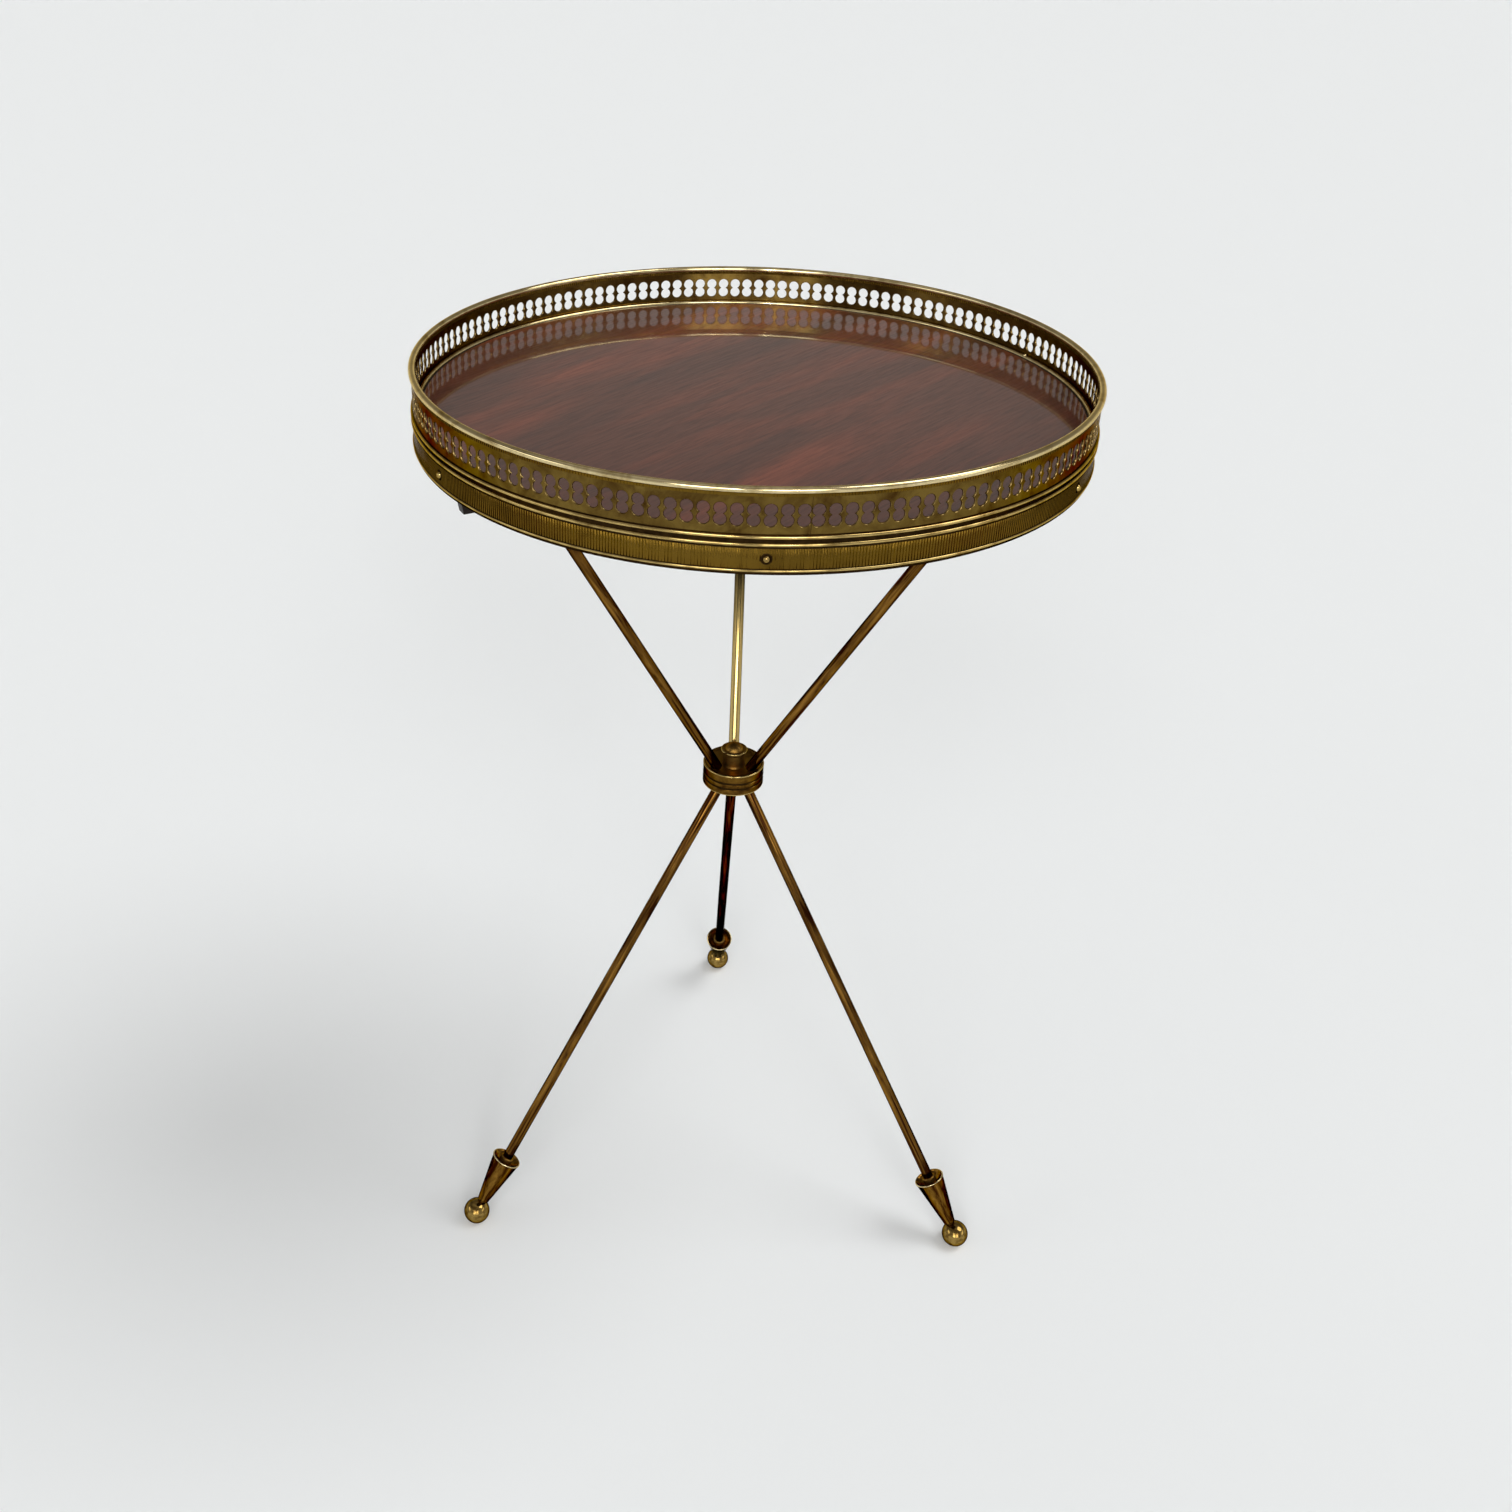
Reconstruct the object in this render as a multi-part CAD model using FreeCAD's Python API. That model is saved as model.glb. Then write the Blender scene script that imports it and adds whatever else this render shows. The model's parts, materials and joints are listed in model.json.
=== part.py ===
import FreeCAD, Part
import math
import os

from FreeCAD import Rotation, Vector

# Round side table: a wooden top in a pierced brass gallery, on a tripod of straight
# brass rods that meet in a grooved hub and end in cone feet with balls.
# Millimetres, +Z up. The origin is on the floor, on the axis of the top.
# One leg points back, along +Y, and the other two point forward, left and right.

# Overall sizes
overall_height = 616.5
rim_outer_radius = 200.0
foot_circle_radius = 198.5
hub_top_height = 338.5

# Fits and cutting allowances
round_fit = 0.1
cut_overrun = 2.0

# Flat sides of the small turned pieces, which keep the whole model light
hub_side_count = 24
leg_side_count = 16

# Rim bead, a six-sided wire on the top edge of the gallery strip
rim_width = 4.4
rim_height = 4.8
rim_flat_width = 2.2

# Pierced gallery strip
gallery_thickness = 1.2
gallery_visible_height = 20.2
hole_pitch_length = 8.13
hole_width = 6.4
hole_waist_width = 3.1
hole_lobe_spacing = 5.6
hole_height = 12.0
hole_rise_above_moulding = 10.2
seam_angle = -82.4
seam_pitch_share = 0.86

# Double bead moulding round the foot of the gallery
moulding_height = 6.9
moulding_crest_width = 1.35
moulding_valley_width = 0.45
moulding_low_crest_rise = 1.9
moulding_high_crest_drop = 1.0

# Apron band, with a bead and a lip at its lower edge
apron_height = 11.1
apron_thickness = 1.6
apron_bead_radius = 0.8
apron_lip_height = 1.8

# Wooden top and the ring round its panel
board_recess = 1.5
panel_thickness = 4.0
panel_above_moulding = 0.5
panel_edge_gap = 0.2
inner_ring_width = 2.9
inner_ring_rise = 1.4

# Flanges that hold the upper rods under the board
flange_radius = 17.0
flange_thickness = 3.0

# Packing block under the front left edge
block_width = 7.0
block_depth = 19.2
block_length = 17.0
block_edge_inset = 12.1
block_end_slope = 3.5

# Rods
rod_radius = 3.5
upper_rod_edge_inset = 48.3
upper_rod_hub_radius = 13.3
lower_rod_hub_radius = 9.2

# Hub with its dished top, grooves, post, cap and nut
hub_radius = 20.3
hub_height = 15.1
hub_rim_width = 1.8
hub_dish_depth = 2.0
hub_dish_floor_radius = 17.0
hub_groove_count = 2
hub_groove_rise = 5.0
hub_groove_pitch = 3.9
hub_groove_depth = 0.6
hub_groove_width = 1.4
post_foot_radius = 7.6
post_neck_radius = 6.6
post_taper_height = 3.5
post_height = 11.7
post_flange_radius = 8.05
post_flange_height = 1.5
post_flange_flare = 0.9
cap_radius = 5.6
cap_height = 4.2
cap_chord_count = 3
nut_radius = 5.6
nut_height = 3.0
nut_side_count = 6

# Cone feet with balls
ball_radius = 9.15
ball_seat_radius = 3.4
ball_chord_count = 6
cone_bottom_radius = 3.9
cone_top_radius = 10.5
cone_length = 39.4
cone_lip_width = 0.8
cone_dish_depth = 3.0
cone_dish_floor_radius = 5.4

# Legs: a name and the direction in degrees from +X, counted towards +Y
leg_angles = {"back": 90.0, "front_left": 210.0, "front_right": 330.0}
full_turn = 360.0
z_axis = Vector(0, 0, 1)
origin = Vector(0, 0, 0)

# Heights of the top, from the rim down
rim_bottom_z = overall_height - rim_height
moulding_top_z = rim_bottom_z - gallery_visible_height
apron_top_z = moulding_top_z - moulding_height
apron_bead_top_z = apron_top_z - apron_height
apron_lip_top_z = apron_bead_top_z - 2 * apron_bead_radius
lip_bottom_z = apron_lip_top_z - apron_lip_height
board_bottom_z = lip_bottom_z + board_recess
panel_top_z = moulding_top_z + panel_above_moulding
board_top_z = panel_top_z - panel_thickness

# Radii of the top, from the rim inwards
strip_middle_radius = rim_outer_radius - rim_width / 2
strip_outer_radius = strip_middle_radius + gallery_thickness / 2
strip_inner_radius = strip_middle_radius - gallery_thickness / 2
board_radius = strip_inner_radius - round_fit
apron_outer_radius = strip_inner_radius + apron_thickness
inner_ring_inner_radius = board_radius - inner_ring_width
panel_radius = inner_ring_inner_radius - panel_edge_gap

# Radii under the board, from its edge inwards
block_outer_radius = board_radius - block_edge_inset
block_inner_radius = block_outer_radius - block_length
upper_rod_top_radius = board_radius - upper_rod_edge_inset
stand_reach = max(foot_circle_radius, upper_rod_top_radius) + rod_radius + cut_overrun

# Gallery holes, whose number follows from their pitch round the strip
strip_length = 2 * math.pi * strip_middle_radius
hole_count = round(strip_length / hole_pitch_length - seam_pitch_share) + 1

# Heights of the hub and of the rods' upper ends
hub_bottom_z = hub_top_height - hub_height
dish_floor_z = hub_top_height - hub_dish_depth
post_top_z = dish_floor_z + post_height
flange_bottom_z = board_bottom_z - flange_thickness

# Heights along a foot's own axis, from the centre of its ball
ball_seat_s = math.sqrt(ball_radius ** 2 - ball_seat_radius ** 2)
cone_top_s = ball_seat_s + cone_length
cone_dish_floor_s = cone_top_s - cone_dish_depth


# Points and shapes that the pieces share
def polar(radius, angle, height):
    """The point at a radius and a direction in degrees, at a height."""
    turn = math.radians(angle)
    return Vector(radius * math.cos(turn), radius * math.sin(turn), height)


def plane_face(points):
    """A flat face in the XZ plane, from its corners given as X and Z."""
    corners = [Vector(across, 0, height) for across, height in points]
    return Part.Face(Part.makePolygon(corners + corners[:1]))


def turned(*points):
    """A solid turned about the Z axis, from its half outline of radii and heights."""
    return plane_face(points).revolve(origin, z_axis, full_turn)


def turned_in_flats(side_count, *points):
    """A solid like a turned one, with flat sides. Its corners are on the turned surface."""
    step = full_turn / side_count
    faces = []
    for (start, low), (end, high) in zip(points, points[1:] + points[:1]):
        if start == 0 and end == 0:
            continue
        for index in range(side_count):
            turn = step * index
            corners = [polar(start, turn, low), polar(start, turn + step, low)]
            corners += [polar(end, turn + step, high), polar(end, turn, high)]
            ring = [corner for spot, corner in enumerate(corners) if corner != corners[spot - 1]]
            faces.append(Part.Face(Part.makePolygon(ring + ring[:1])))
    return Part.makeSolid(Part.makeShell(faces)).removeSplitter()


def arc_chords(radius, start, end, count):
    """The corners of equal chords along an arc, from two angles above the horizontal."""
    step = (end - start) / count
    turns = [start + step * index for index in range(count + 1)]
    return [(radius * math.cos(turn), radius * math.sin(turn)) for turn in turns]


def rod(radius, start, end):
    """A round bar between two points."""
    return Part.makeCylinder(radius, start.distanceToPoint(end), start, end - start)


def between_heights(shape, low, high):
    """The part of a shape between two heights."""
    return shape.common(Part.makeCylinder(stand_reach, high - low, Vector(0, 0, low)))


def spun(shape, angle):
    """A copy of a shape turned about the Z axis by an angle in degrees."""
    copy = shape.copy()
    copy.rotate(origin, z_axis, angle)
    return copy


# Lines of the rods, worked out for each leg
def upper_line(angle, height):
    """The point of an upper rod's axis at a height."""
    rise = board_bottom_z - hub_top_height
    slope = (upper_rod_top_radius - upper_rod_hub_radius) / rise
    return polar(upper_rod_hub_radius + (height - hub_top_height) * slope, angle, height)


def lower_line(angle, height):
    """The point of a lower rod's axis at a height."""
    drop = hub_bottom_z - ball_radius
    slope = (foot_circle_radius - lower_rod_hub_radius) / drop
    return polar(lower_rod_hub_radius + (hub_bottom_z - height) * slope, angle, height)


def foot_direction(angle):
    """The unit direction of a leg's lower rod, from its ball to the hub."""
    return (lower_line(angle, hub_bottom_z) - lower_line(angle, ball_radius)).normalize()


def foot_point(angle, distance):
    """The point of a lower rod's axis at a distance from the centre of the ball."""
    return lower_line(angle, ball_radius) + foot_direction(angle) * distance


# Rim, gallery and mouldings
def rim_bead():
    """The six-sided rim wire, whose lower flat stands on the gallery strip."""
    half = rim_width / 2
    flat = rim_flat_width / 2
    middle = strip_middle_radius
    waist = rim_bottom_z + rim_height / 2
    return turned(
        (middle - flat, rim_bottom_z),
        (middle + flat, rim_bottom_z),
        (middle + half, waist),
        (middle + flat, overall_height),
        (middle - flat, overall_height),
        (middle - half, waist),
    )


def figure_eight_cutter():
    """The cutter of one gallery hole, a waisted eight of two lobes with four sides each."""
    side = hole_width / 2
    waist = hole_waist_width / 2
    lobe = hole_lobe_spacing / 2
    tip = hole_height / 2
    outline = [(0, -tip), (side, -lobe), (waist, 0), (side, lobe), (0, tip)]
    outline += [(-side, lobe), (-waist, 0), (-side, -lobe)]
    corners = [Vector(0, across, height) for across, height in outline]
    depth = gallery_thickness + 2 * cut_overrun
    cutter = Part.Face(Part.makePolygon(corners + corners[:1])).extrude(Vector(depth, 0, 0))
    start = strip_inner_radius - cut_overrun
    cutter.translate(Vector(start, 0, moulding_top_z + hole_rise_above_moulding))
    return cutter


def hole_pitch():
    """The angle between neighbouring gallery holes, except the two beside the strip's seam."""
    return full_turn / (hole_count - 1 + seam_pitch_share)


def hole_angles():
    """The directions of the gallery holes. The two beside the strip's seam lie closer."""
    first = seam_angle + hole_pitch() * seam_pitch_share / 2
    return [first + hole_pitch() * index for index in range(hole_count)]


def strip_outline(radius):
    """The flat face inside the strip's corners. A corner is at the seam and half way between holes."""
    angles = [angle + hole_pitch() / 2 for angle in hole_angles()]
    corners = [polar(radius, angle, apron_top_z) for angle in [seam_angle] + angles[:-1]]
    return Part.Face(Part.makePolygon(corners + corners[:1]))


def gallery_band():
    """The upright strip, with a short flat for each of its ring of figure-eight holes."""
    ring = strip_outline(strip_outer_radius).cut(strip_outline(strip_inner_radius))
    strip = ring.extrude(Vector(0, 0, rim_bottom_z - apron_top_z))
    cutter = figure_eight_cutter()
    return strip.cut([spun(cutter, angle) for angle in hole_angles()])


def bead_moulding():
    """The strip with two ridges round the foot of the gallery."""
    inner = strip_outer_radius + round_fit
    crest = inner + moulding_crest_width
    low = apron_top_z + moulding_low_crest_rise
    high = moulding_top_z - moulding_high_crest_drop
    return turned(
        (inner, apron_top_z),
        (crest, low),
        (inner + moulding_valley_width, (low + high) / 2),
        (crest, high),
        (inner, moulding_top_z),
    )


def apron_band():
    """The band round the board, with a bead above the lip at its lower edge."""
    return turned(
        (strip_inner_radius, lip_bottom_z),
        (apron_outer_radius, lip_bottom_z),
        (apron_outer_radius + apron_bead_radius, apron_lip_top_z + apron_bead_radius),
        (apron_outer_radius, apron_bead_top_z),
        (apron_outer_radius, apron_top_z),
        (strip_inner_radius, apron_top_z),
    )


# Wooden top
def core_board():
    """The thick board inside the bands."""
    thickness = board_top_z - board_bottom_z
    return Part.makeCylinder(board_radius, thickness, Vector(0, 0, board_bottom_z))


def top_panel():
    """The veneered face panel of the table top."""
    return Part.makeCylinder(panel_radius, panel_thickness, Vector(0, 0, board_top_z))


def inner_ring():
    """The slim ring round the panel, on the edge of the board."""
    top = panel_top_z + inner_ring_rise
    return turned(
        (inner_ring_inner_radius, board_top_z),
        (board_radius, board_top_z),
        (board_radius, top),
        (inner_ring_inner_radius, top),
    )


# Flanges and the packing block under the board
def top_flange(angle):
    """The round plate under the board in which an upper rod ends."""
    plate = turned_in_flats(
        leg_side_count,
        (0, flange_bottom_z),
        (flange_radius, flange_bottom_z),
        (flange_radius, board_bottom_z),
        (0, board_bottom_z),
    )
    centre = upper_line(angle, board_bottom_z)
    plate.translate(Vector(centre.x, centre.y, 0))
    return plate


def packing_block():
    """The small hardwood block under the board at the front left, with a sloping end."""
    bottom = board_bottom_z - block_depth
    side = plane_face([
        (block_inner_radius, bottom),
        (block_outer_radius, bottom),
        (block_outer_radius + block_end_slope, board_bottom_z),
        (block_inner_radius, board_bottom_z),
    ])
    side.translate(Vector(0, -block_width / 2, 0))
    block = side.extrude(Vector(0, block_width, 0))
    return spun(block, leg_angles["front_left"])


# Rods, cut to the flat faces on which they stand
def upper_rod(angle):
    """A straight rod from the floor of the hub's dish up to its flange."""
    reach = rod_radius + cut_overrun
    start = upper_line(angle, dish_floor_z - reach)
    end = upper_line(angle, flange_bottom_z + reach)
    return between_heights(rod(rod_radius, start, end), dish_floor_z, flange_bottom_z)


def lower_rod(angle):
    """A straight rod from the dish of its foot up to the underside of the hub."""
    start = foot_point(angle, cone_dish_floor_s)
    end = lower_line(angle, hub_bottom_z + rod_radius + cut_overrun)
    return between_heights(rod(rod_radius, start, end), 0, hub_bottom_z)


# Hub, post, cap and nut
def groove_outline(height):
    """The three points of one groove round the hub."""
    half = hub_groove_width / 2
    floor = hub_radius - hub_groove_depth
    return [(hub_radius, height - half), (floor, height), (hub_radius, height + half)]


def hub_body():
    """The hub, with a dished top and grooves."""
    lowest = hub_bottom_z + hub_groove_rise
    heights = [lowest + hub_groove_pitch * index for index in range(hub_groove_count)]
    grooves = [point for height in heights for point in groove_outline(height)]
    return turned_in_flats(
        hub_side_count,
        (0, hub_bottom_z),
        (hub_radius, hub_bottom_z),
        *grooves,
        (hub_radius, hub_top_height),
        (hub_radius - hub_rim_width, hub_top_height),
        (hub_dish_floor_radius, dish_floor_z),
        (0, dish_floor_z),
    )


def hub_post():
    """The waisted post on the hub, with a flange under its cap."""
    neck_top = post_top_z - post_flange_height - post_flange_flare
    return turned_in_flats(
        hub_side_count,
        (0, dish_floor_z),
        (post_foot_radius, dish_floor_z),
        (post_neck_radius, dish_floor_z + post_taper_height),
        (post_neck_radius, neck_top),
        (post_flange_radius, neck_top + post_flange_flare),
        (post_flange_radius, post_top_z),
        (0, post_top_z),
    )


def hub_cap():
    """The domed cap on the post, whose outline is an arc in chords."""
    half_angle = 2 * math.atan2(cap_height, cap_radius)
    dome_radius = cap_radius / math.sin(half_angle)
    middle = post_top_z + cap_height - dome_radius
    foot = math.pi / 2 - half_angle
    arc = arc_chords(dome_radius, foot, math.pi / 2, cap_chord_count)
    crown = [(across, middle + rise) for across, rise in arc[1:-1]]
    return turned_in_flats(
        hub_side_count,
        (0, post_top_z),
        (cap_radius, post_top_z),
        *crown,
        (0, post_top_z + cap_height),
    )


def hub_nut():
    """The six-sided nut under the hub."""
    return turned_in_flats(
        nut_side_count,
        (0, hub_bottom_z - nut_height),
        (nut_radius, hub_bottom_z - nut_height),
        (nut_radius, hub_bottom_z),
        (0, hub_bottom_z),
    )


# Feet
def foot_cone(angle):
    """The slender cone on the ball, with a dish in its top for the rod."""
    cone = turned_in_flats(
        leg_side_count,
        (0, ball_seat_s),
        (cone_bottom_radius, ball_seat_s),
        (cone_top_radius, cone_top_s),
        (cone_top_radius - cone_lip_width, cone_top_s),
        (cone_dish_floor_radius, cone_dish_floor_s),
        (0, cone_dish_floor_s),
    )
    cone.Placement = FreeCAD.Placement(foot_point(angle, 0), Rotation(z_axis, foot_direction(angle)))
    return cone


def foot_ball(angle):
    """The ball, upright on its pole, with a flat seat for its cone. Its outline is in chords."""
    arc = arc_chords(ball_radius, -math.pi / 2, math.pi / 2, ball_chord_count)
    outline = [(0, -ball_radius)] + arc[1:-1] + [(0, ball_radius)]
    ball = turned_in_flats(leg_side_count, *outline)
    ball.translate(foot_point(angle, 0))
    seat = foot_point(angle, ball_seat_s)
    return ball.cut(rod(ball_radius, seat, foot_point(angle, ball_seat_s + ball_radius)))


# All the pieces by name
def pieces():
    """Every piece of the table, by the name of its file."""
    made = {
        "rim_bead": rim_bead(),
        "gallery_band": gallery_band(),
        "bead_moulding": bead_moulding(),
        "apron_band": apron_band(),
        "core_board": core_board(),
        "top_panel": top_panel(),
        "inner_ring": inner_ring(),
        "packing_block": packing_block(),
        "hub_body": hub_body(),
        "hub_post": hub_post(),
        "hub_cap": hub_cap(),
        "hub_nut": hub_nut(),
    }
    for name, angle in leg_angles.items():
        made["top_flange_" + name] = top_flange(angle)
        made["upper_rod_" + name] = upper_rod(angle)
        made["lower_rod_" + name] = lower_rod(angle)
        made["foot_cone_" + name] = foot_cone(angle)
        made["foot_ball_" + name] = foot_ball(angle)
    return made


os.makedirs("parts", exist_ok=True)
for piece_name, piece_shape in pieces().items():
    piece_shape.exportStep("parts/" + piece_name + ".step")
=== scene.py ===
"""Looks of a round side table: a glossy wooden top in a pierced brass gallery, on a tripod of rods.

Sizes are in millimetres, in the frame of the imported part: +Z is up, the floor is at zero, and
the back leg points along +Y. Meshes are scaled to metres when they are made.
"""

import json
import logging
import math
from collections.abc import Sequence
from dataclasses import dataclass
from enum import Enum

import bpy
from mathutils import Matrix, Vector

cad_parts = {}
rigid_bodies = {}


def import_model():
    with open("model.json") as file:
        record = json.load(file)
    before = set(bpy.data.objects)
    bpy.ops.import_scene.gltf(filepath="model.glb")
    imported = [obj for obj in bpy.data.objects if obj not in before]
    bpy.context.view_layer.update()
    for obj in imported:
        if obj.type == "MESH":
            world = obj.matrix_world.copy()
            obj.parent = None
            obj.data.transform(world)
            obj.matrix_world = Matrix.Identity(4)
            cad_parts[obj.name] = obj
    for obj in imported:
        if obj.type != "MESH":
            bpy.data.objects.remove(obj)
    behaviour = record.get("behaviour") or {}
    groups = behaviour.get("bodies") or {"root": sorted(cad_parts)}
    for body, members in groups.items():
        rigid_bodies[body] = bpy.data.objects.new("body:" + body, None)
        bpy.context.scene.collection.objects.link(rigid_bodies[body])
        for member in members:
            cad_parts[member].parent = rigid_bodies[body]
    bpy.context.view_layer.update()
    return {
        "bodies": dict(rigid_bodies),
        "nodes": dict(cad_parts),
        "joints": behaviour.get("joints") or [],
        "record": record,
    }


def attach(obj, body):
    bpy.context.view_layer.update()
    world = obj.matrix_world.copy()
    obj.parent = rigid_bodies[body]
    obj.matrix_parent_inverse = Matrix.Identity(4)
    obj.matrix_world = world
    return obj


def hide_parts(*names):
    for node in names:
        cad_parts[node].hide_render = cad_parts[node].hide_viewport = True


log = logging.getLogger("side_table")

Point = tuple[float, float]
Colour = tuple[float, float, float]

METRES_PER_MM = 0.001
MM_PER_METRE = 1000.0
FULL_TURN = 2 * math.pi
NEARLY_ZERO = 1e-6
ROUNDING_CHORDS = 3
BODY = "root"
AGED = "aged_brass"
POLISHED = "polished_brass"
WOOD = "dark_wood"
ON_TABLE_AXIS = Matrix.Identity(4)
RISING = (0.0, 1.0)
FALLING = (1.0, 0.0)


class Leg(Enum):
    """The three legs, by direction in degrees from +X towards +Y."""

    BACK = 90.0
    FRONT_LEFT = 210.0
    FRONT_RIGHT = 330.0

    @property
    def node_ending(self) -> str:
        """The ending of this leg's node names."""
        return self.name.lower()


# ---------------------------------------------------------------- points and meshes


def srgb(red: float, green: float, blue: float) -> Colour:
    """Turns a colour of 0 to 255, as read from a picture, into scene linear values.

    Args:
        red: Red, 0 to 255.
        green: Green, 0 to 255.
        blue: Blue, 0 to 255.

    Returns:
        The linear colour.
    """

    def linear(value: float) -> float:
        """One channel in linear light."""
        share = value / 255
        return share / 12.92 if share <= 0.04045 else ((share + 0.055) / 1.055) ** 2.4

    return linear(red), linear(green), linear(blue)


def polar(radius: float, degrees: float, height: float) -> Vector:
    """The point at a radius and direction, at a height, in millimetres."""
    turn = math.radians(degrees)
    return Vector((radius * math.cos(turn), radius * math.sin(turn), height))


def arc(centre: Point, radius: float, start: float, end: float, steps: int) -> list[Point]:
    """Points along an arc of a half outline.

    Args:
        centre: Radius and height of the arc's centre.
        radius: The arc's radius.
        start: First angle in degrees, counted from outwards towards upwards.
        end: Last angle in degrees.
        steps: How many chords to make.

    Returns:
        The points, both ends included.
    """
    turns = [math.radians(start + (end - start) * index / steps) for index in range(steps + 1)]
    return [(centre[0] + radius * math.cos(t), centre[1] + radius * math.sin(t)) for t in turns]


def dome(radius: float, rise: float, base: float, steps: int) -> list[Point]:
    """Points of a shallow dome, from its edge to its crown on the axis."""
    half = 2 * math.atan2(rise, radius)
    curve = radius / math.sin(half)
    points = arc((0.0, base + rise - curve), curve, 90 - math.degrees(half), 90, steps)
    return points[:-1] + [(0.0, base + rise)]


def eased(outline: Sequence[Point], radius: float) -> list[Point]:
    """Rounds the corners of a half outline, so that each edge catches the light.

    Args:
        outline: Corners as radii and heights.
        radius: How far from a corner the rounding starts.

    Returns:
        The rounded outline, from its first corner to its last.
    """
    count = len(outline)
    rounded: list[Point] = []
    for index, (across, height) in enumerate(outline):
        if index in (0, count - 1):
            rounded.append((across, height))
            continue
        before = outline[index - 1]
        after = outline[index + 1]
        ends = []
        for near in (before, after):
            reach = math.dist(near, (across, height))
            share = min(radius / reach, 0.45) if reach else 0.0
            ends.append((across + (near[0] - across) * share, height + (near[1] - height) * share))
        (a0, a1), (b0, b1) = ends
        for step in range(ROUNDING_CHORDS + 1):
            t = step / ROUNDING_CHORDS
            rounded.append((
                (1 - t) ** 2 * a0 + 2 * t * (1 - t) * across + t * t * b0,
                (1 - t) ** 2 * a1 + 2 * t * (1 - t) * height + t * t * b1,
            ))
    return rounded


class MeshMaker:
    """Collects corners and faces in millimetres, and makes one object from them."""

    def __init__(self) -> None:
        """Starts with nothing."""
        self.corners: list[Vector] = []
        self.faces: list[tuple[int, ...]] = []

    def add(self, corner: Vector) -> int:
        """Adds a corner and gives its number."""
        self.corners.append(corner)
        return len(self.corners) - 1

    def face(self, *numbers: int) -> None:
        """Adds a face, without the corners that it names twice in a row."""
        kept = [n for spot, n in enumerate(numbers) if n != numbers[spot - 1]]
        if len(kept) > 2:
            self.faces.append(tuple(kept))

    def bridge(self, first: Sequence[int], second: Sequence[int], closed: bool = True) -> None:
        """Joins two rows of corners with a strip of faces."""
        count = len(first)
        for index in range(count if closed else count - 1):
            after = (index + 1) % count
            self.face(first[index], first[after], second[after], second[index])

    def turned(
        self,
        outline: Sequence[Point],
        segments: int,
        place: Matrix = ON_TABLE_AXIS,
        closed: bool = False,
    ) -> None:
        """Adds a turned surface.

        Args:
            outline: Radii and heights of the half outline, bottom outwards and up, so that it
                runs with the solid on its left.
            segments: How many segments go round.
            place: Where the turned piece's own axis goes.
            closed: Whether the outline is a closed ring, and not from axis to axis.
        """
        rows: list[list[int]] = []
        for radius, height in outline:
            if radius < NEARLY_ZERO:
                rows.append([self.add(place @ Vector((0, 0, height)))] * segments)
                continue
            row = []
            for index in range(segments):
                turn = FULL_TURN * index / segments
                corner = Vector((radius * math.cos(turn), radius * math.sin(turn), height))
                row.append(self.add(place @ corner))
            rows.append(row)
        for low, high in zip(rows, rows[1:] + (rows[:1] if closed else [])):
            self.bridge(low, high)

    def build(self, name: str, sharp_above: float, place: Matrix | None) -> bpy.types.Object:
        """Makes the object.

        Args:
            name: The piece's name.
            sharp_above: Edges that turn by more degrees than this stay sharp.
            place: Where the piece's own axis goes, so that its finish follows that axis; none
                leaves it on the table's axis.

        Returns:
            The object, in metres, linked to the scene.
        """
        mesh = bpy.data.meshes.new(name)
        scaled = [tuple(corner * METRES_PER_MM) for corner in self.corners]
        mesh.from_pydata(scaled, [], self.faces)
        mesh.validate()
        mesh.polygons.foreach_set("use_smooth", [True] * len(mesh.polygons))
        mesh.set_sharp_from_angle(angle=math.radians(sharp_above))
        mesh.update()
        piece = placed(name, mesh)
        if place:
            spot = Matrix.Translation(place.translation * METRES_PER_MM)
            piece.matrix_world = spot @ place.to_3x3().to_4x4()
        return piece


def placed(name: str, data: bpy.types.ID | None) -> bpy.types.Object:
    """Makes an object and links it to the scene."""
    made = bpy.data.objects.new(name, data)
    bpy.context.scene.collection.objects.link(made)
    return made


def along(place: Vector, direction: Vector) -> Matrix:
    """The matrix that lays a piece's own axis along a direction, from a place."""
    turn = Vector((0, 0, 1)).rotation_difference(direction)
    return Matrix.Translation(place) @ turn.to_matrix().to_4x4()


@dataclass(frozen=True)
class Look:
    """A finish, with the record's material slot that it belongs to."""

    material: bpy.types.Material
    slot: str


def finished(piece: bpy.types.Object, look: Look, *replaced: str) -> None:
    """Dresses a piece, lets it ride and hides the nodes it stands for.

    Args:
        piece: The new piece.
        look: Its finish and slot.
        replaced: The nodes that it stands for.
    """
    piece.data.materials.clear()
    piece.data.materials.append(look.material)
    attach(piece, BODY)
    if replaced:
        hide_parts(*replaced)
    log.info("piece %s: %d faces", piece.name, len(piece.data.polygons))


def lathe(
    name: str,
    outlines: Sequence[Sequence[Point]],
    segments: int,
    look: Look,
    *replaced: str,
    closed: bool = False,
    sharp: float = 40.0,
    spots: Sequence[Matrix] = (ON_TABLE_AXIS,),
    axis: Matrix | None = None,
) -> None:
    """Turns half outlines into one dressed piece.

    Args:
        name: The piece's name.
        outlines: Its half outlines, as for MeshMaker.turned.
        segments: How many segments go round.
        look: Its finish and slot.
        replaced: The nodes that it stands for.
        closed: Whether the outlines are closed rings.
        sharp: Edges that turn by more degrees than this stay sharp.
        spots: Where the outlines are turned; each place gets them all.
        axis: Where the whole piece's own axis goes.
    """
    maker = MeshMaker()
    for spot in spots:
        for outline in outlines:
            maker.turned(outline, segments, spot, closed)
    finished(maker.build(name, sharp, axis), look, *replaced)


def box_ring(inner: float, outer: float, low: float, high: float) -> list[Point]:
    """The half outline of a ring with a square section."""
    return [(inner, low), (outer, low), (outer, high), (inner, high)]


# ---------------------------------------------------------------- finishes


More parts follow.
